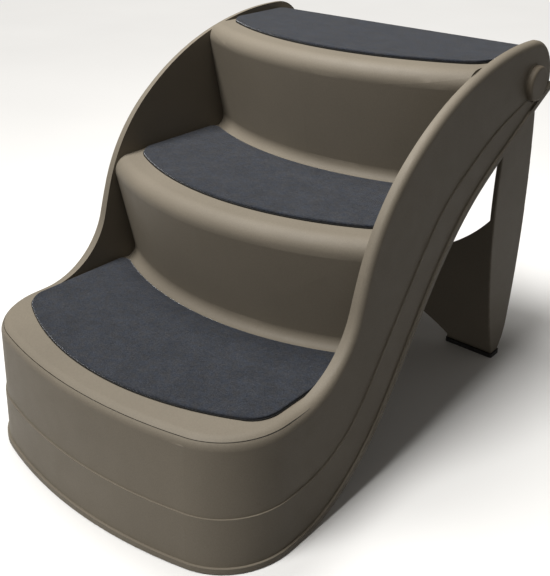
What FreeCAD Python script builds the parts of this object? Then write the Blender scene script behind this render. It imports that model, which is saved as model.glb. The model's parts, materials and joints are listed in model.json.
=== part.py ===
"""Folding pet stair: a moulded three-step shell that stands on its front rim and on a hinged leg frame.

Frame: +X to the right across the stair, +Y from the front rim to the back, +Z up, floor at Z = 0.
Lengths are millimetres. A "depth" is a distance behind the foremost point of the front rim.
"""
import FreeCAD, Part
import math
import os
import Sketcher
from FreeCAD import Placement, Rotation, Vector

doc = FreeCAD.newDocument("PetStair")
sheet = doc.addObject("Spreadsheet::Sheet", "dims")

DIMENSIONS = [
    # the whole stair
    ("front_rim", -298.6, "Y of the foremost point of the front rim"),
    ("skin", 3, "wall thickness of the moulding"),
    ("sole_gap", 1.6, "height of the rim above the floor, filled by the rubber grips"),
    ("side_draft", 0.0186, "how far each side wall leans in, per mm of height"),
    ("front_draft", 0.073, "how far the front leans back, per mm of height"),
    # plan outline at the floor
    ("rim_half_width", 208, "half the width over the rim"),
    ("plan_front_radius", 560, "bow of the front rim in plan"),
    ("plan_corner_radius", 86, "front corners in plan"),
    ("rim_reach", 4, "how far the rim stands out from the wall"),
    ("rim_height", 6, "height of the rim"),
    ("band_reach", 1.5, "how far the band under the ledge stands out"),
    ("band_height", 64.5, "height of the ledge on the front"),
    # steps
    ("tread_height", 150.5, "top of the bottom tread"),
    ("rise", 132.3, "from one tread to the next"),
    ("well_half_width", 186.5, "from the centre to the inner face of a side wall"),
    ("drum_radius", 390, "bow of each nose in plan"),
    ("nose_radius", 17, "rounding of each nose"),
    ("riser_lean", 9.5, "undercut of each riser, in degrees"),
    ("foot_fillet", 12, "hollow at the foot of each riser"),
    ("middle_nose_depth", 191, "depth of the middle nose on the centre line"),
    ("top_nose_depth", 360, "depth of the top nose on the centre line"),
    ("apron_depth", 572, "depth of the back apron"),
    ("apron_radius", 22, "rounding from the top tread into the apron"),
    ("apron_foot", 372, "height of the lower edge of the apron"),
    ("front_edge_radius", 12, "rounding of the front edge of the bottom step"),
    ("crest_radius", 6.5, "outer rounding along the top of the side walls"),
    # carpets
    ("mat_half_width", 183, "half the width of each mat"),
    ("mat_pile", 2.6, "thickness of the carpet"),
    ("mat_backing", 1.4, "thickness of the rubber backing"),
    ("mat_margin", 0.8, "how far the backing shows round the carpet"),
    ("mat_front_border", 36, "from a nose to the mat's front edge"),
    ("mat_back_border", 13, "from a riser to the mat's back edge"),
    ("mat_corner", 34, "front corners of the mats"),
    ("mat_back_corner", 9, "back corners of the mats"),
    ("bottom_mat_depth", 46, "depth of the bottom mat's front edge on the centre line"),
    ("bottom_mat_radius", 362, "bow of the bottom mat's front edge"),
    ("top_mat_border", 28, "from the back apron to the top mat's back edge"),
    # pivots
    ("pivot_depth", 541, "depth of the leg pivots"),
    ("pivot_height", 380, "height of the leg pivots"),
    ("wall_end_radius", 46, "round end of the side walls about the pivot"),
    ("axle_radius", 5, "pivot bolt"),
    ("cap_radius", 20, "round pivot cap"),
    ("cap_height", 7.5, "how far the cap stands out"),
    ("cap_rounding", 3.2, "rounding of the cap's rim"),
    ("cap_seat", 197.4, "X of the flat disc that a cap sits on"),
    ("seat_radius", 21.5, "flat disc that a cap sits on"),
    ("seat_thickness", 4, "flat disc that a cap sits on"),
    ("bolt_head_radius", 8.5, "pivot bolt head"),
    ("bolt_head_height", 4.5, "pivot bolt head"),
    ("socket_radius", 4.6, "hexagon socket in the bolt head, across the corners"),
    ("socket_depth", 3, "hexagon socket in the bolt head"),
    ("boss_radius", 15, "boss inside the shell"),
    ("boss_face", 184.4, "X of the boss's inner face"),
    ("bolt_end", 163.8, "X of the inner end of the bolt"),
    ("washer_face", 174.3, "X of the washer's inner face"),
    ("running_clearance", 0.06, "radial clearance between bolt and bush"),
    ("shell_clearance", 0.1, "radial clearance between bolt and shell"),
    ("washer_clearance", 0.2, "radial clearance between bolt and washer"),
    # leg frame
    ("leg_half_width", 183, "from the centre to the outer face of a leg"),
    ("leg_plate", 6, "thickness of a leg"),
    ("panel_plate", 4, "thickness of the cross panel"),
    ("leg_boss_radius", 22, "round top of a leg"),
    ("leg_edge_radius", 2, "rounding along the outer edges of the legs"),
    ("stop_gap", 0.8, "gap between a leg's shoulder and the apron"),
    ("bush_outer_radius", 8, "pivot bush barrel"),
    ("bush_flange_radius", 13, "pivot bush flange"),
    ("bush_flange", 1, "thickness of the bush flange"),
    ("bush_overhang", 0.8, "how far the bush stands out of the leg on the inside"),
    ("washer_radius", 12, "pivot washer"),
    ("washer_thickness", 1.6, "pivot washer"),
    ("nut_flats", 17, "across the flats of the lock nut"),
    ("nut_height", 8, "lock nut"),
    ("collar_radius", 7.5, "locking collar of the nut"),
    ("collar_height", 1.6, "locking collar of the nut"),
    ("foot_pad_height", 6, "rubber foot pad"),
    ("foot_pad_sole", 4, "rubber under the leg"),
    ("foot_inner", 115, "X of the inner end of each foot"),
    ("foot_front", 552.5, "depth of the front of each foot"),
    ("foot_length", 17.5, "from the front to the back of each foot"),
    ("boot_wall", 1.8, "side wall of the rubber boot"),
    ("boot_gap", 0.2, "gap between foot and boot"),
    ("boot_corner", 3, "upright corners of the boot"),
    # front grips
    ("grip_outer_inset", 1.4, "from the rim's front to the grip"),
    ("grip_inner_inset", 6, "from the rim's front to the back of the grip"),
]
for row, (alias, value, note) in enumerate(DIMENSIONS, start=1):
    sheet.set(f"A{row}", alias)
    sheet.set(f"B{row}", str(value))
    sheet.set(f"C{row}", note)
    sheet.setAlias(f"B{row}", alias)
doc.recompute()


def dim(alias):
    """A driving dimension, read back from the sheet."""
    return float(getattr(sheet, alias))


FRONT = dim("front_rim")
SKIN = dim("skin")
REACH = 300.0      # further out than any part of the stair, each way
NEAR = 1.0         # tolerance when edges are picked by their place
BOTTOM, TOP = -20.0, 470.0     # heights below and above the whole stair
TREADS = [dim("tread_height") + dim("rise") * step for step in range(3)]


# ---------------------------------------------------------------- stair shell
def plan_wire(height, inset):
    """Plan outline of the stair at a height: bowed front, round corners, straight sides."""
    half = dim("rim_half_width") - dim("rim_reach") - dim("side_draft") * height - inset
    front = FRONT + dim("rim_reach") + dim("front_draft") * height + inset
    bow = dim("plan_front_radius") - dim("rim_reach") - inset
    corner = dim("plan_corner_radius") - dim("rim_reach") - inset
    centre = Vector(0, front + bow, height)
    corner_x = half - corner
    corner_y = centre.y - math.sqrt((bow - corner) ** 2 - corner_x ** 2)
    corner_centre = Vector(corner_x, corner_y, height)
    outward = (corner_centre - centre).normalize()
    joint = centre + outward * bow
    side = Vector(half, corner_y, height)
    bend = (outward + Vector(1, 0, 0)).normalize()
    waypoint = corner_centre + bend * corner

    def left(point):
        return Vector(-point.x, point.y, point.z)

    back_right = Vector(half, 2 * REACH, height)
    edges = [
        Part.Arc(left(joint), Vector(0, front, height), joint).toShape(),
        Part.Arc(joint, waypoint, side).toShape(),
        Part.makeLine(side, back_right),
        Part.makeLine(back_right, left(back_right)),
        Part.makeLine(left(back_right), left(side)),
        Part.Arc(left(side), left(waypoint), left(joint)).toShape(),
    ]
    return Part.Wire(edges)


def plan_solid(inset):
    """The drafted block between the outer faces, moved inwards by the inset."""
    return Part.makeLoft([plan_wire(BOTTOM, inset), plan_wire(TOP, inset)], True, True)


def side_point(depth, height):
    return Vector(-REACH, FRONT + depth, height)


def side_curve(points, start, end):
    """A smooth curve in the side view with given end directions."""
    curve = Part.BSplineCurve()
    curve.interpolate(
        Points=[side_point(*point) for point in points],
        InitialTangent=Vector(0, *start).normalize(),
        FinalTangent=Vector(0, *end).normalize(),
    )
    return curve


def beside(curve, points, distance):
    """Points moved square to a side-view curve, up and to the front for a positive distance."""
    moved = []
    for depth, height in points:
        tangent = curve.tangent(curve.parameter(side_point(depth, height)))[0]
        moved.append((depth - tangent.z * distance, height + tangent.y * distance))
    return moved


def across(edges):
    """The solid that a closed side-view outline sweeps across the whole width."""
    wire = Part.Wire(Part.__sortEdges__(edges))
    return Part.Face(wire).extrude(Vector(2 * REACH, 0, 0))


def tangent_arc(start, heading, end):
    """A side-view arc that leaves start at a heading in degrees, and its heading at the end."""
    chord = math.degrees(math.atan2(end[1] - start[1], end[0] - start[0]))
    bend = chord - heading
    run = math.dist(start, end)
    bulge = run / 2 * math.tan(math.radians(bend / 2))
    side = math.radians(chord - 90)
    middle = (
        (start[0] + end[0]) / 2 + bulge * math.cos(side),
        (start[1] + end[1]) / 2 + bulge * math.sin(side),
    )
    arc = Part.Arc(side_point(*start), side_point(*middle), side_point(*end))
    return arc, chord + bend


def polyline(*points):
    """Straight side-view edges through points."""
    corners = [side_point(*point) for point in points]
    return [Part.makeLine(first, second) for first, second in zip(corners, corners[1:])]


PIVOT = (dim("pivot_depth"), dim("pivot_height"))
END_TIP_ANGLE = -14.0      # where the round end meets the lower edge
AHEAD = -60.0              # a depth in front of the stair
WELL_START = 60.0          # a depth on the bottom step, ahead of the rise of the crests
TRIM_END = 150.0           # behind it the band and the rim run only along the side walls
OPEN_BACK = 500.0          # behind it the stair is open below the apron
SKIRT = 30.0               # how far a step reaches down past the tread in front of it


def on_end(angle, inset=0.0):
    radius = dim("wall_end_radius") - inset
    turn = math.radians(angle)
    return (PIVOT[0] + radius * math.cos(turn), PIVOT[1] + radius * math.sin(turn))


# the crest of a side wall: level at the bottom tread, then one hollow and three rounded stretches
CREST_START = (126.0, TREADS[0])
CREST = [CREST_START, (217, 218), (229, 254), (296, 348), (401, 405.5)]


# the lower edge of a side wall: it leaves the floor level and climbs to the tip behind the pivot
HEEL = (118.0, dim("sole_gap"))
TIP = on_end(END_TIP_ANGLE)
LOWER = [
    HEEL, (172, 13), (206, 33), (240, 62), (273, 102), (306, 148), (355, 214),
    (408, 267), (470, 307), (536, 342.5), TIP,
]
TIP_SLOPE = (0.9, 0.45)
# the ledge line above the band, which narrows towards the pivot
LEDGE = [
    (112, dim("band_height")), (168, 72.5), (204, 93.5), (250, 147), (300, 213), (335, 257),
    (366, 288), (403, 312), (442, 332.5), (484, 349.5), (545, 366), (584, 373),
]
LEVEL = (1, 0)
LEDGE_SLOPE = (1, 0.2)

lower_curve = side_curve(LOWER, LEVEL, TIP_SLOPE)
ledge_curve = side_curve(LEDGE, LEVEL, LEDGE_SLOPE)


def crest_edges(inset):
    """The crest of a side wall and its round end, moved inwards by the inset."""
    edges, headings = [], [0.0]
    for start, end in zip(CREST, CREST[1:]):
        heading = headings[-1]
        arc, next_heading = tangent_arc(start, heading, end)
        moved = [along(start, heading, inset), along(end, next_heading, inset)]
        edges.append(tangent_arc(moved[0], heading, moved[1])[0].toShape())
        headings.append(next_heading)
    # the last stretch runs tangent into the round end about the pivot
    start, heading = along(CREST[-1], headings[-1], inset), math.radians(headings[-1])
    normal = (math.sin(heading), -math.cos(heading))
    away = (start[0] - PIVOT[0], start[1] - PIVOT[1])
    end_radius = dim("wall_end_radius") - inset
    facing = normal[0] * away[0] + normal[1] * away[1]
    radius = (end_radius ** 2 - away[0] ** 2 - away[1] ** 2) / (2 * (facing + end_radius))
    centre = (start[0] + radius * normal[0], start[1] + radius * normal[1])
    join_angle = math.degrees(math.atan2(PIVOT[1] - centre[1], PIVOT[0] - centre[0]))
    join = on_end(join_angle, inset)
    edges.append(tangent_arc(start, headings[-1], join)[0].toShape())
    return edges, join, join_angle


def along(point, heading, inset):
    """A point moved down and to the back, square to a heading."""
    turn = math.radians(heading)
    return (point[0] + math.sin(turn) * inset, point[1] - math.cos(turn) * inset)


def end_edge(low_angle, high_angle, inset):
    middle = on_end((low_angle + high_angle) / 2, inset)
    low, high = on_end(low_angle, inset), on_end(high_angle, inset)
    return Part.Arc(side_point(*low), side_point(*middle), side_point(*high)).toShape()


def wall_profile():
    """Side view of the outer faces."""
    crest, join, join_angle = crest_edges(0)
    return across([
        lower_curve.toShape(),
        *crest,
        end_edge(END_TIP_ANGLE, join_angle, 0),
        *polyline(CREST_START, (AHEAD, TREADS[0]), (AHEAD, HEEL[1]), HEEL),
    ])


def cavity_profile(inset):
    """Side view of the hollow: one skin inside the crest, open below."""
    crest, join, join_angle = crest_edges(inset)
    start = along(CREST_START, 0, inset)
    low = on_end(0, inset)
    return across([
        *crest,
        end_edge(0, join_angle, inset),
        *polyline(start, (AHEAD, start[1]), (AHEAD, -REACH), (low[0], -REACH), low),
    ])


def band_profile():
    """Side view of everything under the ledge line."""
    return across([
        lower_curve.toShape(),
        ledge_curve.toShape(),
        *polyline(LEDGE[0], (AHEAD, LEDGE[0][1]), (AHEAD, HEEL[1]), HEEL),
        *polyline(LEDGE[-1], TIP),
    ])


def rim_profile():
    """Side view of the rolled rim along the lower edge."""
    height = dim("rim_height")
    points = beside(lower_curve, LOWER, height)
    top = side_curve(points, LEVEL, TIP_SLOPE)
    return across([
        lower_curve.toShape(),
        top.toShape(),
        *polyline(points[0], (AHEAD, points[0][1]), (AHEAD, HEEL[1]), HEEL),
        *polyline(points[-1], TIP),
    ])


def drum(nose_depth, foot_height, top_height, inset):
    """A step as a solid of revolution: rounded nose, leaning riser and hollow foot."""
    radius = dim("drum_radius") - inset
    nose = dim("nose_radius") - inset
    fillet = dim("foot_fillet") + inset
    lean = math.radians(dim("riser_lean"))
    axis_y = FRONT + nose_depth + dim("drum_radius")
    top = top_height - inset
    foot = foot_height - inset

    def point(distance, height):
        return Vector(0, axis_y - distance, height)

    nose_r, nose_z = radius - nose, top - nose
    turn_r = nose_r + nose * math.cos(lean)
    turn_z = nose_z - nose * math.sin(lean)
    foot_z = foot + fillet
    foot_r = turn_r + (fillet + (foot_z - turn_z) * math.sin(lean)) / math.cos(lean)
    riser_end = point(foot_r - fillet * math.cos(lean), foot_z + fillet * math.sin(lean))
    hollow = math.radians(225) + lean / 2
    edges = [
        Part.makeLine(point(0, top), point(nose_r, top)),
        Part.Arc(
            point(nose_r, top),
            point(nose_r + nose * math.sin(math.radians(45)), nose_z + nose * math.cos(math.radians(45))),
            point(turn_r, turn_z),
        ).toShape(),
        Part.makeLine(point(turn_r, turn_z), riser_end),
        Part.Arc(
            riser_end,
            point(foot_r + fillet * math.cos(hollow), foot_z + fillet * math.sin(hollow)),
            point(foot_r, foot),
        ).toShape(),
        Part.makeLine(point(foot_r, foot), point(foot_r, foot - SKIRT)),
        Part.makeLine(point(foot_r, foot - SKIRT), point(0, foot - SKIRT)),
        Part.makeLine(point(0, foot - SKIRT), point(0, top)),
    ]
    face = Part.Face(Part.Wire(edges))
    return face.revolve(Vector(0, axis_y, 0), Vector(0, 0, 1), 360)


def apron(inset):
    """Everything in front of the back apron, with its rounding into the top tread."""
    back = dim("apron_depth") - inset
    radius = dim("apron_radius") - inset
    top = TREADS[2] - inset
    bend = radius * (1 - math.sin(math.radians(45)))
    rounding = Part.Arc(
        side_point(back, top - radius), side_point(back - bend, top - bend), side_point(back - radius, top)
    )
    return across([
        rounding.toShape(),
        *polyline((back - radius, top), (AHEAD, top), (AHEAD, -REACH), (back, -REACH), (back, top - radius)),
    ])


def box(x_range, depth_range, z_range):
    low = Vector(x_range[0], FRONT + depth_range[0], z_range[0])
    return Part.makeBox(
        x_range[1] - x_range[0], depth_range[1] - depth_range[0], z_range[1] - z_range[0], low
    )


def steps(inset):
    """The middle and top steps, moved inwards by the inset."""
    middle = drum(dim("middle_nose_depth"), TREADS[0], TREADS[1], inset)
    top = drum(dim("top_nose_depth"), TREADS[1], TREADS[2], inset)
    return middle.fuse(top).common(apron(inset))


def well(inset):
    """The open space above the treads between the side walls; an inset makes it wider."""
    half = dim("well_half_width") + inset
    return box((-half, half), (WELL_START, 2 * REACH), (TREADS[0] - inset, 2 * REACH)).cut(steps(inset))


def steps_between_walls(inset):
    """The middle and top steps as far as the side walls, moved inwards by the inset."""
    half = dim("well_half_width") - inset
    return steps(inset).common(box((-half, half), (WELL_START, 2 * REACH), (TREADS[0] - inset, 2 * REACH)))


def outer_block():
    """The stair's outer form with its front edge and crests rounded."""
    block = doc.addObject("Part::Feature", "outer_block")
    block.Shape = plan_solid(0).common(wall_profile()).Solids[0]
    wide, narrow = dim("front_edge_radius"), dim("crest_radius")
    front_end = FRONT + CREST_START[0] + NEAR
    hollow_end = FRONT + CREST[1][0] + NEAR
    edges = []
    for number, edge in enumerate(block.Shape.Edges, start=1):
        bounds = edge.BoundBox
        if bounds.ZMin < TREADS[0] - NEAR or bounds.YLength < NEAR:
            continue
        if bounds.YMax < front_end:
            edges.append((number, wide, wide))
        elif bounds.YMax < hollow_end:
            middle = edge.valueAt((edge.FirstParameter + edge.LastParameter) / 2)
            forward = edge.valueAt(edge.FirstParameter).y < middle.y
            edges.append((number, wide, narrow) if forward else (number, narrow, wide))
        else:
            edges.append((number, narrow, narrow))
    rounded = doc.addObject("Part::Fillet", "rounded_block")
    rounded.Base = block
    rounded.Edges = edges
    doc.recompute()
    return rounded.Shape


def mirrored(shape):
    return shape.mirror(Vector(0, 0, 0), Vector(1, 0, 0))


def trim_ring(reach, profile):
    """A band round the front and sides that stands out from the wall, left out between the walls."""
    inner = dim("well_half_width")
    ring = plan_solid(-reach).common(profile)
    return ring.cut(box((-inner, inner), (TRIM_END, 2 * REACH), (-REACH, 2 * REACH)))


def pivot_cylinder(radius, start, end):
    """A cylinder about the pivot axis between two X positions."""
    base = Vector(start, FRONT + PIVOT[0], PIVOT[1])
    return Part.makeCylinder(radius, end - start, base, Vector(1, 0, 0))


def stair_shell():
    """The whole moulding: outer form, less the wells and the hollow underneath."""
    inner = dim("well_half_width")
    outside = outer_block().cut(well(0)).fuse(steps_between_walls(0))
    outside = outside.cut(box((-inner, inner), (OPEN_BACK, 2 * REACH), (0, dim("apron_foot"))))
    band = trim_ring(dim("band_reach"), band_profile())
    rim = trim_ring(dim("rim_reach"), rim_profile())
    seat_end = dim("cap_seat")
    seat_start = seat_end - dim("seat_thickness")
    seat = pivot_cylinder(dim("seat_radius"), seat_start, seat_end)
    for piece in (band, rim, seat, mirrored(seat)):
        outside = outside.fuse(piece)
    # room for the cap, which would otherwise sink in the band beside it
    cap_room = pivot_cylinder(dim("seat_radius"), seat_end, REACH)
    outside = outside.cut([cap_room, mirrored(cap_room)])
    hollow = plan_solid(SKIN).common(cavity_profile(SKIN)).cut(well(SKIN))
    hollow = hollow.fuse(steps_between_walls(SKIN))
    boss = pivot_cylinder(dim("boss_radius"), dim("boss_face"), seat_start + dim("seat_thickness") / 2)
    shell = outside.cut(hollow).fuse([boss, mirrored(boss)])
    return shell.cut(pivot_cylinder(dim("axle_radius") + dim("shell_clearance"), -REACH, REACH))


# ---------------------------------------------------------------- sub-parts
subparts = []
PIVOT_Y = "dims.front_rim + dims.pivot_depth"
PIVOT_Z = "dims.pivot_height"


def place(item, label, x="0", y="0", z="0"):
    """Name a sub-part and bind its place to the sheet."""
    item.Label = label
    for axis, formula in (("x", x), ("y", y), ("z", z)):
        item.setExpression(f"Placement.Base.{axis}", formula)
    subparts.append(item)


def origin_plane(body, role):
    return next(feature for feature in body.Origin.OriginFeatures if feature.Role == role)


def new_sketch(body, name, role):
    sketch = body.newObject("Sketcher::SketchObject", name)
    sketch.AttachmentSupport = (origin_plane(body, role), "")
    sketch.MapMode = "FlatFace"
    return sketch


def add_outline(sketch, edges):
    """A closed run of lines and arcs, held where it is drawn."""
    numbers = [sketch.addGeometry(edge) for edge in edges]
    sketch.addConstraint([Sketcher.Constraint("Block", number) for number in numbers])


def segments(*points):
    """Sketch lines along a run of points."""
    corners = [Vector(*point, 0) for point in points]
    return [Part.LineSegment(first, second) for first, second in zip(corners, corners[1:])]


def disc(name, radius, length, start):
    """A cylinder along X from a start position."""
    cylinder = doc.addObject("Part::Cylinder", name)
    cylinder.setExpression("Radius", radius)
    cylinder.setExpression("Height", length)
    cylinder.Placement = Placement(Vector(), Rotation(Vector(0, 1, 0), 90))
    cylinder.setExpression("Placement.Base.x", start)
    return cylinder


def hexagon(name, circumradius, length, start):
    """A hexagonal prism along X from a start position."""
    prism = doc.addObject("Part::Prism", name)
    prism.Polygon = 6
    prism.setExpression("Circumradius", circumradius)
    prism.setExpression("Height", length)
    prism.Placement = Placement(Vector(), Rotation(Vector(0, 1, 0), 90))
    prism.setExpression("Placement.Base.x", start)
    return prism


def fused(name, *shapes):
    union = doc.addObject("Part::MultiFuse", name)
    union.Shapes = list(shapes)
    return union


def cut(name, base, tool):
    difference = doc.addObject("Part::Cut", name)
    difference.Base, difference.Tool = base, tool
    return difference


def rounded(name, base, radius, chosen):
    """Round the edges of a solid that a test picks."""
    doc.recompute()
    piece = doc.addObject("Part::Fillet", name)
    piece.Base = base
    piece.Edges = [
        (number, radius, radius)
        for number, edge in enumerate(base.Shape.Edges, start=1)
        if chosen(edge.BoundBox)
    ]
    doc.recompute()
    return piece


# stair shell
shell = doc.addObject("Part::Feature", "stair_shell_body")
shell.Shape = stair_shell()
place(shell, "stair_shell")


# carpets and their rubber backings
def mat(label, base, thickness, margin, front_centre, front_radius, back_centre, back_radius):
    """A mat between two arcs in plan: a box, inside the front arc, outside the back arc, corners rounded."""
    slab = doc.addObject("Part::Box", label + "_slab")
    slab.setExpression("Length", f"2 * (dims.mat_half_width + {margin})")
    slab.setExpression("Width", f"{2 * REACH}")
    slab.setExpression("Height", thickness)
    slab.setExpression("Placement.Base.x", f"-(dims.mat_half_width + {margin})")
    slab.setExpression("Placement.Base.y", "dims.front_rim")
    front = doc.addObject("Part::Cylinder", label + "_front_arc")
    front.setExpression("Radius", f"{front_radius} + {margin}")
    front.setExpression("Height", thickness)
    front.setExpression("Placement.Base.y", front_centre)
    shape = doc.addObject("Part::Common", label + "_front")
    shape.Base, shape.Tool = slab, front
    if back_radius:
        back = doc.addObject("Part::Cylinder", label + "_back_arc")
        back.setExpression("Radius", f"{back_radius} - {margin}")
        back.setExpression("Height", thickness)
        back.setExpression("Placement.Base.y", back_centre)
    else:
        back = doc.addObject("Part::Box", label + "_back_cut")
        back.setExpression("Length", f"{2 * REACH}")
        back.setExpression("Width", f"{2 * REACH}")
        back.setExpression("Height", thickness)
        back.setExpression("Placement.Base.x", f"-{REACH}")
        back.setExpression("Placement.Base.y", f"{back_centre} + {margin}")
    blank = doc.addObject("Part::Cut", label + "_blank")
    blank.Base, blank.Tool = shape, back
    doc.recompute()
    middle_y = blank.Shape.BoundBox.Center.y
    rounding = []
    for number, edge in enumerate(blank.Shape.Edges, start=1):
        bounds = edge.BoundBox
        upright = bounds.ZLength > 0.9 * blank.Shape.BoundBox.ZLength
        if upright and abs(bounds.Center.x) > dim("mat_half_width") / 2:
            radius = dim("mat_corner") if bounds.Center.y < middle_y else dim("mat_back_corner")
            rounding.append((number, radius, radius))
    piece = doc.addObject("Part::Fillet", label + "_piece")
    piece.Base = blank
    piece.Edges = rounding
    doc.recompute()
    place(piece, label, z=base)


MATS = [
    (
        "bottom_tread", 0,
        "dims.front_rim + dims.bottom_mat_depth + dims.bottom_mat_radius",
        "dims.bottom_mat_radius",
        "dims.front_rim + dims.middle_nose_depth + dims.drum_radius",
        "dims.drum_radius - dims.nose_radius + dims.mat_back_border",
    ),
    (
        "middle_tread", 1,
        "dims.front_rim + dims.middle_nose_depth + dims.drum_radius",
        "dims.drum_radius - dims.mat_front_border",
        "dims.front_rim + dims.top_nose_depth + dims.drum_radius",
        "dims.drum_radius - dims.nose_radius + dims.mat_back_border",
    ),
    (
        "top_tread", 2,
        "dims.front_rim + dims.top_nose_depth + dims.drum_radius",
        "dims.drum_radius - dims.mat_front_border",
        "dims.front_rim + dims.apron_depth - dims.top_mat_border", None,
    ),
]
for name, level, front_centre, front_radius, back_centre, back_radius in MATS:
    tread = f"dims.tread_height + {level} * dims.rise"
    mat(name + "_backing", tread, "dims.mat_backing", "dims.mat_margin",
        front_centre, front_radius, back_centre, back_radius)
    mat(name + "_carpet", tread + " + dims.mat_backing", "dims.mat_pile", "0",
        front_centre, front_radius, back_centre, back_radius)


# pivot hardware, the same on both sides: it is built about +X and turned half a turn for the left side
def pivot_cap(side):
    name = side + "_cap"
    button = disc(name + "_button", "dims.cap_radius", "dims.cap_height", "dims.cap_seat")
    outer_rim = dim("cap_seat") + NEAR
    soft = rounded(name + "_soft", button, dim("cap_rounding"), lambda bounds: bounds.XMin > outer_rim)
    recess = disc(name + "_recess", "dims.bolt_head_radius", "dims.bolt_head_height", "dims.cap_seat")
    return cut(name, soft, recess)


def pivot_bolt(side):
    name = side + "_bolt"
    head = disc(name + "_head", "dims.bolt_head_radius", "dims.bolt_head_height", "dims.cap_seat")
    shank = disc(name + "_shank", "dims.axle_radius", "dims.cap_seat - dims.bolt_end", "dims.bolt_end")
    socket = hexagon(name + "_socket", "dims.socket_radius", "dims.socket_depth",
                     "dims.cap_seat + dims.bolt_head_height - dims.socket_depth")
    return cut(name, fused(name + "_whole", head, shank), socket)


def pivot_washer(side):
    name = side + "_washer"
    plate = disc(name + "_plate", "dims.washer_radius", "dims.washer_thickness", "dims.washer_face")
    bore = disc(name + "_bore", "dims.axle_radius + dims.washer_clearance",
                "dims.washer_thickness", "dims.washer_face")
    return cut(name, plate, bore)


def pivot_nut(side):
    name = side + "_nut"
    start = "dims.washer_face - dims.nut_height"
    flats = hexagon(name + "_flats", "dims.nut_flats / 2 / cos(30)", "dims.nut_height", start)
    collar_start = start + " - dims.collar_height"
    collar = disc(name + "_collar", "dims.collar_radius", "dims.collar_height", collar_start)
    bore = disc(name + "_bore", "dims.axle_radius", "dims.nut_height + dims.collar_height", collar_start)
    return cut(name, fused(name + "_whole", flats, collar), bore)


def pivot_bush(side):
    name = side + "_bush"
    barrel = disc(name + "_barrel", "dims.bush_outer_radius", "dims.leg_plate + dims.bush_overhang",
                  "dims.leg_half_width - dims.leg_plate - dims.bush_overhang")
    flange = disc(name + "_flange", "dims.bush_flange_radius", "dims.bush_flange", "dims.leg_half_width")
    bore = disc(name + "_bore", "dims.axle_radius + dims.running_clearance",
                "4 * dims.leg_plate", "dims.leg_half_width - 2 * dims.leg_plate")
    return cut(name, fused(name + "_whole", barrel, flange), bore)


HALF_TURN = Rotation(Vector(0, 0, 1), 180)
for side, turn in (("right", Rotation()), ("left", HALF_TURN)):
    for make, kind in (
        (pivot_cap, "cap"), (pivot_bolt, "bolt"), (pivot_washer, "washer"), (pivot_nut, "nut"),
        (pivot_bush, "bush"),
    ):
        item = make(side)
        item.Placement = Placement(Vector(), turn)
        place(item, f"{side}_pivot_{kind}", y=PIVOT_Y, z=PIVOT_Z)


# leg frame: two leaf-shaped legs and an arched cross panel, one moulding
def leg_point(depth, height):
    return Vector(FRONT + depth, height, 0)


LEG_TOE = (553.5, dim("foot_pad_sole"))
LEG_SHIN = (517.0, 172.0)
LEG_KNEE = (515.5, 290.0)
LEG_BACK_TOP = (588.0, 330.0)
LEG_BACK_BULGE = (597.0, 185.0)
LEG_BACK_LOW = (587.0, 45.0)
LEG_HEEL = (568.0, dim("foot_pad_sole"))
SHOULDER_DEPTH = dim("apron_depth") - SKIN - dim("stop_gap")     # the shoulder stops against the apron
BOSS_ANGLES = (180, 100, 38)                  # start, middle and end of the round top


def around_pivot(angle, radius):
    turn = math.radians(angle)
    return (PIVOT[0] + radius * math.cos(turn), PIVOT[1] + radius * math.sin(turn))


def panel_arc(inset, low, high):
    """The front edge of a leg between two heights, moved to the back by the inset."""
    circle = Part.Arc(leg_point(*LEG_TOE), leg_point(*LEG_SHIN), leg_point(*LEG_KNEE)).toShape().Curve
    centre, radius = circle.Center, circle.Radius - inset

    def at(height):
        return Vector(centre.x - math.sqrt(radius ** 2 - (height - centre.y) ** 2), height, 0)

    return Part.Arc(at(low), at((low + high) / 2), at(high)), at(low), at(high)


leg_frame = doc.addObject("PartDesign::Body", "leg_frame_body")
leaf = new_sketch(leg_frame, "leaf_outline", "YZ_Plane")
boss = dim("leg_boss_radius")
front_arc, toe, knee = panel_arc(0, LEG_TOE[1], LEG_KNEE[1])
boss_left, boss_top, boss_right = (leg_point(*around_pivot(angle, boss)) for angle in BOSS_ANGLES)
shoulder_top = (SHOULDER_DEPTH, 381.0)
shoulder_foot = (SHOULDER_DEPTH, 364.0)
heel_bend = (579.0, 21.0)
add_outline(leaf, [
    front_arc,
    Part.LineSegment(knee, boss_left),
    Part.Arc(boss_left, boss_top, boss_right),
    Part.LineSegment(boss_right, leg_point(*shoulder_top)),
    Part.LineSegment(leg_point(*shoulder_top), leg_point(*shoulder_foot)),
    Part.LineSegment(leg_point(*shoulder_foot), leg_point(*LEG_BACK_TOP)),
    Part.Arc(leg_point(*LEG_BACK_TOP), leg_point(*LEG_BACK_BULGE), leg_point(*LEG_BACK_LOW)),
    Part.LineSegment(leg_point(*LEG_BACK_LOW), leg_point(*heel_bend)),
    Part.LineSegment(leg_point(*heel_bend), leg_point(*LEG_HEEL)),
    Part.LineSegment(leg_point(*LEG_HEEL), toe),
])
leaf_pad = leg_frame.newObject("PartDesign::Pad", "leaf_pad")
leaf_pad.Profile = leaf
leaf_pad.SideType = "Symmetric"
leaf_pad.setExpression("Length", "2 * dims.leg_half_width")
doc.recompute()

LONG_EDGE = 200.0      # only the long front and back edges are rounded
soft_edges = leg_frame.newObject("PartDesign::Fillet", "soft_edges")
outer_edges = [
    f"Edge{number}" for number, edge in enumerate(leaf_pad.Shape.Edges, start=1)
    if edge.BoundBox.XLength < 0.01 and edge.BoundBox.ZLength > LONG_EDGE
]
soft_edges.Base = (leaf_pad, outer_edges)
soft_edges.setExpression("Radius", "dims.leg_edge_radius")
doc.recompute()

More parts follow.
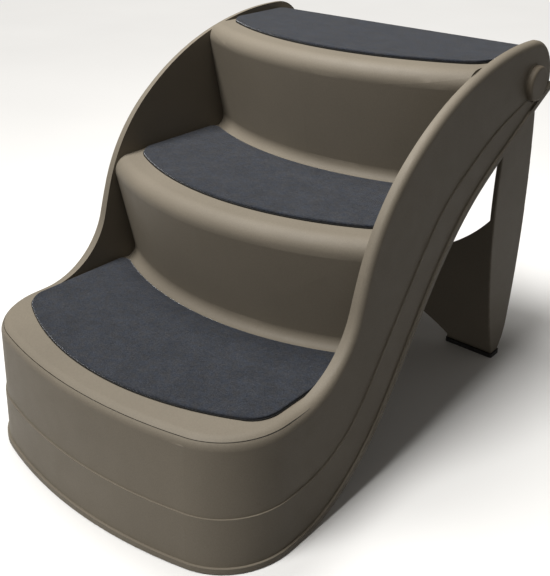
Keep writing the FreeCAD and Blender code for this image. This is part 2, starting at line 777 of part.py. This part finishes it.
# the bay behind the panel, left in two parts by a cross rib
RIB = (98.5, 101.5)
BAY_BACK = 700.0         # a depth behind the legs
BAY_TOP = 430.0          # a height above the legs
FOOT_FLOOR = 4.0         # thickness of the web over the foot
bay = new_sketch(leg_frame, "bay_outline", "YZ_Plane")
panel = dim("panel_plate")
bay_floor = dim("foot_pad_sole") + FOOT_FLOOR
for low, high, top in ((bay_floor, RIB[0], None), (RIB[1], LEG_KNEE[1], BAY_TOP)):
    arc, start, end = panel_arc(panel, low, high)
    edges = [arc]
    corners = [end]
    if top:
        corners += [Vector(boss_left.x + panel, PIVOT[1], 0), Vector(boss_left.x + panel, top, 0)]
    corners += [Vector(FRONT + BAY_BACK, corners[-1].y, 0), Vector(FRONT + BAY_BACK, low, 0), start]
    edges += [Part.LineSegment(first, second) for first, second in zip(corners, corners[1:])]
    add_outline(bay, edges)
bay_cut = leg_frame.newObject("PartDesign::Pocket", "bay_cut")
bay_cut.Profile = bay
bay_cut.SideType = "Symmetric"
bay_cut.setExpression("Length", "2 * (dims.leg_half_width - dims.leg_plate)")

# the dip in the top of the panel and the arch between the feet
inner_leg = dim("leg_half_width") - dim("leg_plate")
DIP_RADIUS, DIP_LOW = 228.0, 129.0
dip_edge = DIP_LOW + DIP_RADIUS - math.sqrt(DIP_RADIUS ** 2 - inner_leg ** 2)
ARCH_RADIUS, ARCH_TOP = 165.0, 59.0
foot_inner = dim("foot_inner")
arch_edge = ARCH_TOP - ARCH_RADIUS + math.sqrt(ARCH_RADIUS ** 2 - foot_inner ** 2)
openings = new_sketch(leg_frame, "panel_openings", "XZ_Plane")
add_outline(openings, [
    Part.Arc(Vector(-inner_leg, dip_edge, 0), Vector(0, DIP_LOW, 0), Vector(inner_leg, dip_edge, 0)),
    *segments((inner_leg, dip_edge), (inner_leg, BAY_TOP), (-inner_leg, BAY_TOP), (-inner_leg, dip_edge)),
])
add_outline(openings, [
    Part.Arc(Vector(-foot_inner, arch_edge, 0), Vector(0, ARCH_TOP, 0), Vector(foot_inner, arch_edge, 0)),
    *segments((foot_inner, arch_edge), (foot_inner, -SKIRT), (-foot_inner, -SKIRT), (-foot_inner, arch_edge)),
])
openings_cut = leg_frame.newObject("PartDesign::Pocket", "openings_cut")
openings_cut.Profile = openings
openings_cut.SideType = "Symmetric"
openings_cut.Length = 4 * REACH

bush_hole = new_sketch(leg_frame, "bush_hole", "YZ_Plane")
hole = bush_hole.addGeometry(Part.Circle(leg_point(*PIVOT), Vector(0, 0, 1), dim("bush_outer_radius")))
centre_y = bush_hole.addConstraint(Sketcher.Constraint("DistanceX", -1, 1, hole, 3, FRONT + PIVOT[0]))
centre_z = bush_hole.addConstraint(Sketcher.Constraint("DistanceY", -1, 1, hole, 3, PIVOT[1]))
hole_radius = bush_hole.addConstraint(Sketcher.Constraint("Radius", hole, dim("bush_outer_radius")))
bush_hole.setExpression(f"Constraints[{centre_y}]", PIVOT_Y)
bush_hole.setExpression(f"Constraints[{centre_z}]", PIVOT_Z)
bush_hole.setExpression(f"Constraints[{hole_radius}]", "dims.bush_outer_radius")
bush_cut = leg_frame.newObject("PartDesign::Pocket", "bush_cut")
bush_cut.Profile = bush_hole
bush_cut.SideType = "Symmetric"
bush_cut.Length = 4 * REACH
doc.recompute()
place(leg_frame, "rear_leg_frame")


# rubber boots under the feet
def block(name, x, y, z, length, width, height):
    solid = doc.addObject("Part::Box", name)
    for key, formula in (
        ("Placement.Base.x", x), ("Placement.Base.y", y), ("Placement.Base.z", z),
        ("Length", length), ("Width", width), ("Height", height),
    ):
        solid.setExpression(key, formula)
    return solid


def foot_pad(side):
    name = side + "_foot"
    width = "dims.leg_half_width - dims.foot_inner + 2 * dims.boot_gap"
    length = "dims.foot_length + 2 * dims.boot_gap"
    pocket = block(name + "_pocket", "dims.foot_inner - dims.boot_gap", "dims.foot_front - dims.boot_gap",
                   "dims.foot_pad_sole", width, length, "dims.foot_pad_height")
    outer = block(name + "_outer", "dims.foot_inner - dims.boot_gap - dims.boot_wall",
                  "dims.foot_front - dims.boot_gap - dims.boot_wall", "0",
                  width + " + 2 * dims.boot_wall", length + " + 2 * dims.boot_wall", "dims.foot_pad_height")
    soft = rounded(name + "_soft", outer, dim("boot_corner"), lambda bounds: bounds.ZLength > NEAR)
    return cut(name, soft, pocket)


for side, offset in (("right", "0"), ("left", "-(dims.foot_inner + dims.leg_half_width)")):
    place(foot_pad(side), f"{side}_foot_pad", x=offset, y="dims.front_rim")


# rubber strips under the front rim
GRIP_ANGLE = 8.5       # degrees that a grip spans
GRIP_START = 5.5       # degrees from the centre line to a grip
GRIP_END_RADIUS = 2
for side, first_angle in (("right", GRIP_START - 90), ("left", -90 - GRIP_START - GRIP_ANGLE)):
    rings = []
    for edge in ("outer", "inner"):
        sector = doc.addObject("Part::Cylinder", f"{side}_grip_{edge}")
        sector.setExpression("Radius", f"dims.plan_front_radius - dims.grip_{edge}_inset")
        sector.setExpression("Height", "dims.sole_gap")
        sector.Angle = GRIP_ANGLE
        rings.append(sector)
    strip = cut(side + "_grip_strip", *rings)
    ends = rounded(side + "_grip", strip, GRIP_END_RADIUS,
                   lambda bounds: bounds.ZLength > NEAR and bounds.XLength < NEAR)
    ends.Placement = Placement(Vector(), Rotation(Vector(0, 0, 1), first_angle))
    place(ends, f"{side}_front_grip", y="dims.front_rim + dims.plan_front_radius")

doc.recompute()
os.makedirs("parts", exist_ok=True)
for item in doc.Objects:
    if "Invalid" in item.State or "Error" in item.State:
        raise RuntimeError(f"{item.Name} did not build")
for item in subparts:
    if item.Shape.isNull() or not item.Shape.isValid():
        raise RuntimeError(f"{item.Label} has no valid shape")
for item in subparts:
    item.Shape.exportStep(f"parts/{item.Label}.step")
    print(item.Label, len(item.Shape.Solids), round(item.Shape.Volume), item.Shape.BoundBox)
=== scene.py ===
"""Looks of the folding pet stair: felt mats, moulded plastic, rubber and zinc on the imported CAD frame.

Metres, in the frame's own axes: +X right across the stair, +Y to the back, +Z up, floor at Z = 0.
"""
import json
import math

import bmesh
import bpy
from mathutils import Matrix, Vector, noise


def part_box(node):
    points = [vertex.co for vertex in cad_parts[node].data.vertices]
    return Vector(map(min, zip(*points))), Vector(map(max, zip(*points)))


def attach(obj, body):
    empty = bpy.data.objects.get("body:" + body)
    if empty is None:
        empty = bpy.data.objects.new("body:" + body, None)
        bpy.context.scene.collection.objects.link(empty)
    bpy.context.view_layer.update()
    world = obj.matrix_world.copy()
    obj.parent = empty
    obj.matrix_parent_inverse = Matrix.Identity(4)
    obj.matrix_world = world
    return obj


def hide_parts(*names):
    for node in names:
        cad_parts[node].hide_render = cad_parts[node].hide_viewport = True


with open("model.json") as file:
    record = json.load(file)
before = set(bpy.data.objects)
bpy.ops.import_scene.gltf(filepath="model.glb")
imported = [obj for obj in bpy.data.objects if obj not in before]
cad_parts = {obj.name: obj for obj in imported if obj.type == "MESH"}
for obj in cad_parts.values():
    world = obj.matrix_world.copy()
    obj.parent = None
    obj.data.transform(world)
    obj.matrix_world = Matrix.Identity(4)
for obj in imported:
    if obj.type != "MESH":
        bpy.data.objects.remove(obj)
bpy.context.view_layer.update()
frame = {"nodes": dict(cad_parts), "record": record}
MM = 0.001

# ---------------------------------------------------------------- camera
CAMERA_AT = Vector((0.61275, -0.6741, 0.63082))
CAMERA_AZIMUTH, CAMERA_ELEVATION, CAMERA_ROLL = 40.034, 28.346, 0.268
LENS, SHIFT_X, SHIFT_Y = 53.54, -0.0327, 0.0084


def make_camera():
    azimuth, elevation, roll = (
        math.radians(angle) for angle in (CAMERA_AZIMUTH, CAMERA_ELEVATION, CAMERA_ROLL)
    )
    back = Vector((
        math.sin(azimuth) * math.cos(elevation),
        -math.cos(azimuth) * math.cos(elevation),
        math.sin(elevation),
    ))
    level = Vector((math.cos(azimuth), math.sin(azimuth), 0))
    upright = back.cross(level)
    right = level * math.cos(roll) + upright * math.sin(roll)
    up = upright * math.cos(roll) - level * math.sin(roll)
    camera = bpy.data.objects.new("camera", bpy.data.cameras.new("camera"))
    bpy.context.scene.collection.objects.link(camera)
    axes = Matrix((right, up, back)).transposed().to_4x4()
    camera.matrix_world = Matrix.Translation(CAMERA_AT) @ axes
    camera.data.lens = LENS
    camera.data.shift_x, camera.data.shift_y = SHIFT_X, SHIFT_Y
    bpy.context.scene.camera = camera


# ---------------------------------------------------------------- materials
class Nodes:
    """A material's node tree with short calls to add and join nodes."""

    def __init__(self, name):
        self.material = bpy.data.materials.new(name)
        self.material.use_nodes = True
        self.tree = self.material.node_tree
        self.shader = self.tree.nodes["Principled BSDF"]
        self.place = self.add("ShaderNodeTexCoord").outputs["Object"]

    def add(self, kind, **inputs):
        node = self.tree.nodes.new(kind)
        for key, value in inputs.items():
            node.inputs[key.replace("_", " ")].default_value = value
        return node

    def join(self, source, target):
        self.tree.links.new(source, target)

    def noise(self, scale, detail=2.0, roughness=0.5):
        node = self.add("ShaderNodeTexNoise", Scale=scale, Detail=detail, Roughness=roughness)
        self.join(self.place, node.inputs["Vector"])
        return node.outputs["Fac"]

    def grains(self, scale):
        node = self.add("ShaderNodeTexVoronoi", Scale=scale)
        self.join(self.place, node.inputs["Vector"])
        return node.outputs["Distance"]

    def ramp(self, factor, *stops):
        """A colour ramp; each stop is (position, (r, g, b))."""
        node = self.add("ShaderNodeValToRGB")
        marks = node.color_ramp.elements
        while len(marks) < len(stops):
            marks.new(0.5)
        for mark, (position, colour) in zip(marks, stops):
            mark.position = position
            mark.color = (*colour, 1)
        self.join(factor, node.inputs["Fac"])
        return node.outputs["Color"]

    def mix(self, factor, first, second, blend="MIX"):
        node = self.add("ShaderNodeMix")
        node.data_type, node.blend_type = "RGBA", blend
        colour_sockets = [socket for socket in node.inputs if socket.type == "RGBA"]
        for socket, value in zip((node.inputs["Factor"], *colour_sockets), (factor, first, second)):
            if isinstance(value, (int, float, tuple)):
                socket.default_value = value
            else:
                self.join(value, socket)
        return next(socket for socket in node.outputs if socket.type == "RGBA")

    def span(self, factor, low, high):
        """A factor spread over a range of values."""
        node = self.add("ShaderNodeMapRange")
        node.inputs["To Min"].default_value = low
        node.inputs["To Max"].default_value = high
        self.join(factor, node.inputs["Value"])
        return node.outputs["Result"]

    def bump(self, *layers):
        """Bump from (height socket, distance in metres, strength) layers, one on the other."""
        previous = None
        for height, distance, strength in layers:
            node = self.add("ShaderNodeBump", Distance=distance, Strength=strength)
            self.join(height, node.inputs["Height"])
            if previous:
                self.join(previous, node.inputs["Normal"])
            previous = node.outputs["Normal"]
        self.join(previous, self.shader.inputs["Normal"])

    def colour(self, socket):
        self.join(socket, self.shader.inputs["Base Color"])

    def roughness(self, socket):
        self.join(socket, self.shader.inputs["Roughness"])

    def set(self, **values):
        for key, value in values.items():
            self.shader.inputs[key.replace("_", " ")].default_value = value


def moulded_plastic(name, base, grain_depth=0.05 * MM):
    """Taupe polypropylene: faint flow marks, a fine spark-eroded grain and a satin surface."""
    nodes = Nodes(name)
    dark = tuple(channel * 0.93 for channel in base)
    light = tuple(channel * 1.06 for channel in base)
    flow = nodes.ramp(nodes.noise(7, 3), (0.3, dark), (0.7, light))
    fleck = nodes.ramp(nodes.noise(900, 1), (0.35, (0.94, 0.94, 0.94)), (0.65, (1.04, 1.04, 1.04)))
    nodes.colour(nodes.mix(1.0, flow, fleck, "MULTIPLY"))
    nodes.roughness(nodes.span(nodes.noise(60, 3), 0.54, 0.68))
    nodes.bump(
        (nodes.grains(1100), grain_depth, 0.5),
        (nodes.noise(22, 2), 0.35 * MM, 0.25),
    )
    nodes.set(Specular_IOR_Level=0.32)
    return nodes.material


def felt(name):
    """Blue-grey needle felt: heathered fibres in two blues with dark and pale flecks."""
    nodes = Nodes(name)
    cloud = nodes.ramp(nodes.noise(48, 4, 0.6), (0.3, (0.024, 0.027, 0.033)), (0.7, (0.033, 0.037, 0.045)))
    heather = nodes.ramp(
        nodes.noise(640, 4, 0.7),
        (0.30, (0.45, 0.47, 0.50)), (0.5, (1.0, 1.0, 1.0)), (0.72, (1.75, 1.72, 1.68)),
    )
    tint = nodes.ramp(nodes.noise(130, 2), (0.35, (0.94, 0.98, 1.08)), (0.65, (1.07, 1.0, 0.95)))
    nodes.colour(nodes.mix(1.0, nodes.mix(1.0, cloud, heather, "MULTIPLY"), tint, "MULTIPLY"))
    nodes.roughness(nodes.span(nodes.noise(300, 2), 0.9, 1.0))
    nodes.bump(
        (nodes.noise(750, 4, 0.75), 0.9 * MM, 0.85),
        (nodes.noise(90, 3), 0.6 * MM, 0.35),
    )
    nodes.set(Sheen_Weight=0.8, Sheen_Roughness=0.3, Sheen_Tint=(0.9, 0.93, 1.0, 1), Specular_IOR_Level=0.15)
    return nodes.material


def rubber(name, shade=0.012):
    """Black rubber, a little dusty."""
    nodes = Nodes(name)
    nodes.colour(nodes.ramp(
        nodes.noise(160, 4), (0.35, (shade, shade, shade)), (0.75, (shade * 2.2, shade * 2.1, shade * 2.0)),
    ))
    nodes.roughness(nodes.span(nodes.noise(220, 2), 0.62, 0.85))
    nodes.bump((nodes.noise(900, 2), 0.08 * MM, 0.6))
    return nodes.material


def zinc(name):
    """Zinc-plated steel with turning marks and faint spangle."""
    nodes = Nodes(name)
    nodes.colour(nodes.ramp(nodes.noise(260, 3), (0.3, (0.50, 0.51, 0.52)), (0.7, (0.66, 0.66, 0.64))))
    nodes.roughness(nodes.span(nodes.noise(1400, 2), 0.24, 0.42))
    nodes.bump((nodes.noise(1800, 1), 0.02 * MM, 0.5))
    nodes.set(Metallic=1.0)
    return nodes.material


def nylon(name):
    """Natural nylon of the pivot bushes."""
    nodes = Nodes(name)
    nodes.colour(nodes.ramp(nodes.noise(90, 3), (0.3, (0.55, 0.53, 0.47)), (0.7, (0.66, 0.64, 0.58))))
    nodes.roughness(nodes.span(nodes.noise(400, 2), 0.32, 0.45))
    nodes.bump((nodes.noise(1200, 1), 0.02 * MM, 0.4))
    nodes.set(Subsurface_Weight=0.1)
    return nodes.material


TAUPE = (0.186, 0.162, 0.127)
MATERIALS = {
    "shell_plastic": moulded_plastic("moulded_taupe", TAUPE),
    "leg_plastic": moulded_plastic("moulded_taupe_leg", tuple(channel * 0.98 for channel in TAUPE)),
    "cap_plastic": moulded_plastic("moulded_taupe_cap", (0.160, 0.134, 0.100), 0.02 * MM),
    "carpet": felt("needle_felt"),
    "mat_backing": rubber("mat_rubber", 0.003),
    "rubber_pad": rubber("pad_rubber"),
    "bush_plastic": nylon("bush_nylon"),
    "zinc_steel": zinc("zinc_plate"),
}


def dress_cad_nodes():
    """Gives every kept CAD node the material of its slot."""
    for entry in frame["record"]["subparts"]:
        node = frame["nodes"][entry["node"]]
        node.data.materials.clear()
        node.data.materials.append(MATERIALS[entry["material_slot"]])


# ---------------------------------------------------------------- felt mats
FELT_STEP = 1.6 * MM          # spacing of the felt's surface points
FELT_ROUND = 0.9 * MM         # how far the cut edge rolls over
FELT_FADE = 3 * FELT_ROUND    # how far in from the edge the pile is fully uneven
FELT_LUMP = 0.16 * MM         # unevenness of the pile
LUMP_SCALE = 260              # lumps in a metre
LUMP_FALL, LUMP_GAP, LUMP_LAYERS = 0.8, 2.1, 3
NOISE_STRIDE = (3.1, 1.7, 0.9)     # from one mat's place in the noise to the next
BUNCHED, EVEN = 0.55, 0.45    # shares of bunched and even spacing across a mat
EDGE_ROWS = 4
MERGE = 1e-6                  # points this close are one point
HAIR = 1e-5                   # a distance too small to see
SAME_X = 1e-9                 # an outline edge this narrow in X runs straight back


def top_outline(node):
    """The outline of a CAD mat's top face as an ordered loop of points."""
    mesh = bmesh.new()
    mesh.from_mesh(frame["nodes"][node].data)
    bmesh.ops.remove_doubles(mesh, verts=mesh.verts, dist=MERGE)
    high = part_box(node)[1]
    level = high.z - HAIR
    top = {face for face in mesh.faces if all(vert.co.z > level for vert in face.verts)}
    rim = {}
    for face in top:
        for edge in face.edges:
            if sum(other in top for other in edge.link_faces) == 1:
                first, second = (vert.co.copy().freeze() for vert in edge.verts)
                rim.setdefault(first, []).append(second)
                rim.setdefault(second, []).append(first)
    start = min(rim, key=lambda point: (point.x, point.y))
    loop, previous = [start], None
    while True:
        here = loop[-1]
        onward = [point for point in rim[here] if point != previous]
        previous = here
        if onward[0] == start or len(loop) > len(rim):
            break
        loop.append(onward[0])
    mesh.free()
    return loop


def crossings(loop, x):
    """The nearest and farthest Y of an outline at one X."""
    found = []
    for first, second in zip(loop, loop[1:] + loop[:1]):
        if (first.x - x) * (second.x - x) <= 0 and abs(first.x - second.x) > SAME_X:
            share = (x - first.x) / (second.x - first.x)
            found.append(first.y + share * (second.y - first.y))
    return min(found), max(found)


def inset_at(gap, reach):
    """Drop of the felt's surface near its cut edge: a quarter round."""
    if gap >= reach:
        return 0.0
    return reach - math.sqrt(max(reach * reach - (reach - gap) ** 2, 0.0))


def felt_surface(mesh, low, high, loop, seed):
    """The top of a mat as columns of points from front to back, joined by faces."""
    half = (high.x - low.x) / 2 - HAIR
    columns = round(2 * half / FELT_STEP)
    rows = round((high.y - low.y) / FELT_STEP)
    shares = [index / rows for index in range(rows + 1)]
    shift = Vector([seed * stride for stride in NOISE_STRIDE])
    grid = []
    for column in range(columns + 1):
        turn = math.pi * column / columns
        # columns bunch up towards the two sides, where the corners are round
        x = -half * (BUNCHED * math.cos(turn) + EVEN * (1 - 2 * column / columns))
        near, far = crossings(loop, x)
        line = []
        for share in shares:
            y = near + (far - near) * share
            gap = min(y - near, far - y, half - abs(x))
            place = Vector((x, y, 0)) * LUMP_SCALE + shift
            lump = noise.fractal(place, LUMP_FALL, LUMP_GAP, LUMP_LAYERS) * FELT_LUMP
            fade = min(gap / FELT_FADE, 1.0)
            z = high.z - inset_at(gap, FELT_ROUND) - FELT_LUMP + lump * fade
            line.append(mesh.verts.new((x, y, z)))
        grid.append(line)
    for first, second in zip(grid, grid[1:]):
        for row in range(rows):
            mesh.faces.new((first[row], second[row], second[row + 1], first[row + 1]))
    return grid


def felt_edge(mesh, grid, base):
    """The cut edge of a mat, from the rim of its top down to the base, and its underside."""
    front = [line[0] for line in grid]
    right = grid[-1][1:]
    back = [line[-1] for line in grid[::-1]][1:]
    left = grid[0][-2:0:-1]
    border = front + right + back + left
    previous = border
    for step in range(1, EDGE_ROWS + 1):
        share = step / EDGE_ROWS
        ring = []
        for vert in border:
            z = vert.co.z + (base - vert.co.z) * share
            ring.append(mesh.verts.new((vert.co.x, vert.co.y, z)))
        for index in range(len(ring)):
            after = (index + 1) % len(ring)
            mesh.faces.new((previous[index], ring[index], ring[after], previous[after]))
        previous = ring
    mesh.faces.new(previous)


def felt_mat(node, seed):
    """A needle-felt mat with a rolled cut edge and an uneven pile, in place of the plain CAD carpet."""
    low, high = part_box(node)
    loop = top_outline(node)
    mesh = bmesh.new()
    grid = felt_surface(mesh, low, high, loop, seed)
    felt_edge(mesh, grid, low.z)
    bmesh.ops.recalc_face_normals(mesh, faces=mesh.faces)
    name = node.replace("carpet", "felt")
    data = bpy.data.meshes.new(name)
    mesh.to_mesh(data)
    mesh.free()
    for polygon in data.polygons:
        polygon.use_smooth = True
    data.materials.append(MATERIALS["carpet"])
    piece = bpy.data.objects.new(name, data)
    bpy.context.scene.collection.objects.link(piece)
    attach(piece, "stair")
    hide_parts(node)
    return piece, loop


def flat_area(loop):
    """Area inside an outline."""
    pairs = zip(loop, loop[1:] + loop[:1])
    return abs(sum(first.x * second.y - second.x * first.y for first, second in pairs)) / 2


def make_mats():
    for seed, level in enumerate(("bottom", "middle", "top"), start=1):
        node = f"{level}_tread_carpet"
        piece, loop = felt_mat(node, seed)
        flat_area(loop)


# ---------------------------------------------------------------- stage
FLOOR_SIZE = 12.0
SUN_STRENGTH, SUN_SPREAD = 3.1, 24.0
SUN_FROM = Vector((-0.16, -0.53, 1.0))
SUN_COLOUR = (1.0, 0.985, 0.955)
GLOW_POWER, GLOW_SIZE = 9.0, 0.5
GLOW_AT, GLOW_TOWARDS = Vector((-0.25, 0.0, 1.25)), Vector((0, 0.15, 0.4))
GLOW_COLOUR = (1.0, 0.98, 0.94)
AMBIENT, AMBIENT_COLOUR = 0.11, (1, 0.95, 0.88, 1)


def make_floor():
    mesh = bmesh.new()
    bmesh.ops.create_grid(mesh, x_segments=2, y_segments=2, size=FLOOR_SIZE / 2)
    data = bpy.data.meshes.new("floor")
    mesh.to_mesh(data)
    mesh.free()
    nodes = Nodes("pale_floor")
    nodes.colour(nodes.ramp(nodes.noise(2, 2), (0.3, (0.86, 0.86, 0.86)), (0.7, (0.89, 0.89, 0.89))))
    nodes.set(Roughness=0.9)
    data.materials.append(nodes.material)
    floor = bpy.data.objects.new("floor", data)
    bpy.context.scene.collection.objects.link(floor)
    # the floor throws no light back on the stair, whose flanks and underside stay dark
    floor.visible_diffuse = False


def add_lamp(light, turn):
    lamp = bpy.data.objects.new(light.name, light)
    lamp.rotation_mode = "QUATERNION"
    lamp.rotation_quaternion = turn
    bpy.context.scene.collection.objects.link(lamp)
    return lamp


def make_light():
    sun = bpy.data.lights.new("key", "SUN")
    sun.energy, sun.angle, sun.color = SUN_STRENGTH, math.radians(SUN_SPREAD), SUN_COLOUR
    add_lamp(sun, SUN_FROM.to_track_quat("Z", "Y"))
    glow = bpy.data.lights.new("glow", "AREA")
    glow.shape, glow.size = "DISK", GLOW_SIZE
    glow.energy, glow.color = GLOW_POWER, GLOW_COLOUR
    lamp = add_lamp(glow, (GLOW_TOWARDS - GLOW_AT).to_track_quat("-Z", "Y"))
    lamp.location = GLOW_AT
    world = bpy.data.worlds.new("studio")
    world.use_nodes = True
    background = world.node_tree.nodes["Background"]
    background.inputs["Color"].default_value = AMBIENT_COLOUR
    background.inputs["Strength"].default_value = AMBIENT
    bpy.context.scene.world = world


bpy.context.scene.view_settings.view_transform = "Standard"
make_camera()
dress_cad_nodes()
make_mats()
make_floor()
make_light()
